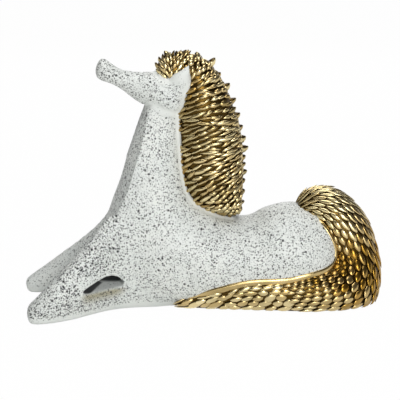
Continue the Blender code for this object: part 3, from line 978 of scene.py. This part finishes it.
def round_brisket(mesh):
    """Runs the chest out into the off leg."""
    for margin in BRISKET_MARGINS:
        low = BRISKET_LOW_Z - margin
        high = BRISKET_HIGH_Z + margin
        front = [vert for vert in mesh.verts if vert.co.x < BRISKET_X and vert.co.y > BRISKET_Y]
        smoothed(mesh, [vert for vert in front if low < vert.co.z < high], BRISKET_ROUNDING)


def bareness(point, away, seam):
    """How scarce flecks are at a point so far away from the hair and from the seam under the jaw."""
    x, y, z = point
    bare = max(
        ease(away, LIP_CLEAR_SHARE * LIP_WIDTH, LIP_WIDTH),
        FOOT_BARENESS * ease(z, *FOOT_Z),
        OFF_LEG_BARENESS * ease(y, *OFF_LEG_Y) * ease(x, *OFF_LEG_X),
        JAW_BARENESS * ease(seam, *JAW_SEAM) * ease(z, *UNDER_CHEEK_Z),
        EAR_BARENESS * ease(z, *EAR_Z) * ease(x, *EAR_X),
    )
    return bare - NEAR_LEG_FLECKS * ease(y, *NEAR_LEG_Y) * ease(x, *NEAR_LEG_X)


def stain_below_gap(point):
    """How far the glaze is stained at a point, below the gap on the outside of a leg."""
    x, y, z = point
    below = STAIN * ease(z, *STAIN_FOOT_Z) * ease(z, *STAIN_TOP_Z)
    return below * ease(x, *STAIN_FRONT_X) * ease(x, *STAIN_BACK_X) * ease(abs(y), *STAIN_Y)


def painted_gap_shade(vert, depth):
    """How dark the painted shade is at a vertex inside the gap, so deep under the leg's outer skin: on the
    roof, at the inner end, and on the sill behind the painted shadow edge of the arch.
    """
    # The painted shadow of the arch on the sill begins this deep, deeper the further back
    shadow_edge = SILL_SHADOW_SLANT * (vert.co.x - SILL_SHADOW_FRONT_X)
    return GAP_SHADE_DARKNESS * max(
        ease(depth - shadow_edge, *SILL_SHADOW_FADE),
        ease(vert.normal.z, *ROOF_NORMAL_Z),
        ease(abs(vert.co.y), *GAP_INNER_Y),
    )


def pour_glaze(mesh, trunk, skull, crest, legs):
    """Raises the lip of glaze, sinks the crease, and notes where the glaze is bare or stained, and where
    shade is painted inside the gaps.
    """
    bare = mesh.verts.layers.float.new("bare")
    stain = mesh.verts.layers.float.new("stain")
    gap_shade = mesh.verts.layers.float.new("gap_shade")
    mesh.normal_update()
    for vert in mesh.verts:
        away = crest.find_nearest(vert.co)[3]
        vert.co += vert.normal * LIP_HEIGHT * ease(away, LIP_WIDTH, LIP_WIDTH / 2)
        seam = max(skull.find_nearest(vert.co)[3], trunk.find_nearest(vert.co)[3])
        crease = ease(seam, *JAW_CREASE) * ease(vert.co.z, *UNDER_CHEEK_Z)
        vert.co -= vert.normal * JAW_CREASE_DEPTH * crease
        vert[bare] = bareness(vert.co, away, seam)
        vert[stain] = stain_below_gap(vert.co)
        if by_gap(vert.co):
            depth = min(leg.find_nearest(vert.co)[3] for leg in legs)
            inside = ease(depth, *GAP_MOUTH)
            vert[bare] = max(vert[bare], GAP_BARENESS * inside)
            # Shade painted inside the gap
            vert[gap_shade] = inside * painted_gap_shade(vert, depth)
        vert.co.z = max(vert.co.z, 0)


def glazed_body(glaze):
    """The luted castings run together under one glaze."""
    torso = loft(faired(TORSO_RIBS, RIB_STEPS), TORSO_AROUND)
    near_solid = loft(faired(foreleg_ribs(-1), RIB_STEPS), LEG_AROUND)
    off_ribs = foreleg_ribs(1, OFF_KNEE_HEIGHT, OFF_ELBOW_HEIGHT)
    off_solid = loft(faired(off_ribs, RIB_STEPS), LEG_AROUND)
    legs = [BVHTree.FromBMesh(near_solid), BVHTree.FromBMesh(off_solid)]
    near_leg = foreleg(-1, near_solid)
    off_leg = foreleg(1, off_solid)
    head = loft(faired(HEAD_RIBS, RIB_STEPS), HEAD_AROUND)
    ears = [loft(faired(ear_ribs(side), RIB_STEPS), EAR_AROUND) for side in (-1, 1)]
    trunk = BVHTree.FromBMesh(torso)
    skull = BVHTree.FromBMesh(head)
    crest = BVHTree.FromBMesh(loft(faired(CREST_RIBS, RIB_STEPS), HEAD_AROUND))
    mesh = run_together((torso, near_leg, off_leg, head, *ears))
    round_shoulders(mesh, trunk, legs)
    flatten_chest(mesh, trunk)
    round_brisket(mesh)
    pour_glaze(mesh, trunk, skull, crest, legs)
    body = piece("glazed_body", mesh, glaze)
    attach(body, "root")
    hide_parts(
        "forehand", "hindquarters", "head", "near_ear", "off_ear", "near_foreleg", "off_foreleg"
    )
    return body


def hair(body, gold):
    """Forelock, mane and tail, combed over the glazed body."""
    skin = BVHTree.FromObject(body, bpy.context.evaluated_depsgraph_get())
    tufts = (
        ("forelock", comb_crest(skin, 1, FORELOCK_SEED)),
        ("mane", comb_crest(skin, -1, MANE_SEED)),
        ("tail", comb_tail(skin, TAIL_SEED)),
    )
    for node, mesh in tufts:
        tuft = piece(f"{node}_locks", mesh, gold)
        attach(tuft, "root")
        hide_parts(node)


def seen_plainly(tree):
    """1 on rays from the camera, off a gloss or through glass, and 0 on those that light things."""
    path = add(tree, "ShaderNodeLightPath")
    seen = path.outputs["Is Camera Ray"]
    for kind in ("Is Glossy Ray", "Is Transmission Ray"):
        seen = add(tree, "ShaderNodeMath", {0: seen, 1: path.outputs[kind]}, operation="MAXIMUM").outputs[0]
    return seen


def pale_floor():
    """A white-painted floor, rolled out matt. It is white to the eye and in reflections, and keeps a
    little of the shadow."""
    material, tree, shader = new_material("pale_floor")
    shader.inputs["Base Color"].default_value = linear("#F2F2F0")
    shader.inputs["Roughness"].default_value = 0.9
    seen = seen_plainly(tree)
    share = add(tree, "ShaderNodeMath", {0: seen, 1: FLOOR_WHITENESS}, operation="MULTIPLY").outputs[0]
    white = add(tree, "ShaderNodeEmission", {"Color": linear("#FFFFFF"), "Strength": 1.0})
    mixed = add(tree, "ShaderNodeMixShader", {0: share, 1: shader.outputs[0], 2: white.outputs[0]})
    tree.links.new(mixed.outputs[0], tree.nodes["Material Output"].inputs["Surface"])
    return material


def lay_floor():
    """A round floor with a low wall."""
    mesh = bmesh.new()
    made = bmesh.ops.create_circle(mesh, cap_ends=True, segments=ROOM_SIDES, radius=ROOM_RADIUS)["verts"]
    rim = list({edge for vert in made for edge in vert.link_edges})
    raised = bmesh.ops.extrude_edge_only(mesh, edges=rim)["geom"]
    raised = [item for item in raised if isinstance(item, bmesh.types.BMVert)]
    bmesh.ops.translate(mesh, verts=raised, vec=(0, 0, WALL_HEIGHT))
    floor = piece("floor", mesh, pale_floor())


def light_room():
    """A dim room, a key lamp above the camera, a low fill beside it, and broad lamps overhead and
    behind."""
    scene = bpy.context.scene
    world = bpy.data.worlds.new("room")
    scene.world = world
    world.use_nodes = True
    background = world.node_tree.nodes["Background"]
    background.inputs["Color"].default_value = linear("#FFFFFF")
    background.inputs["Strength"].default_value = ROOM_LIGHT
    target = CAMERA_TARGET * MM
    for name, place, size, power in LAMPS:
        lamp = bpy.data.lights.new(name, "AREA")
        lamp.shape = "DISK"
        lamp.size = size
        lamp.energy = power
        obj = bpy.data.objects.new(name, lamp)
        scene.collection.objects.link(obj)
        obj.location = place
        obj.rotation_euler = (Vector(place) - target).to_track_quat("Z", "Y").to_euler()


def set_camera():
    scene = bpy.context.scene
    camera = bpy.data.cameras.new("camera")
    camera.angle = 2 * math.atan(VIEW_WIDTH / 2 / CAMERA_DISTANCE)
    viewer = bpy.data.objects.new("camera", camera)
    scene.collection.objects.link(viewer)
    level = math.cos(CAMERA_ELEVATION)
    back = Vector(
        (math.sin(CAMERA_AZIMUTH) * level, -math.cos(CAMERA_AZIMUTH) * level, math.sin(CAMERA_ELEVATION))
    )
    viewer.location = (CAMERA_TARGET + back * CAMERA_DISTANCE) * MM
    viewer.rotation_euler = back.to_track_quat("Z", "Y").to_euler()
    scene.camera = viewer
    scene.view_settings.view_transform = "Standard"


body = glazed_body(speckled_glaze())
hair(body, gold_lustre())
lay_floor()
light_room()
set_camera()
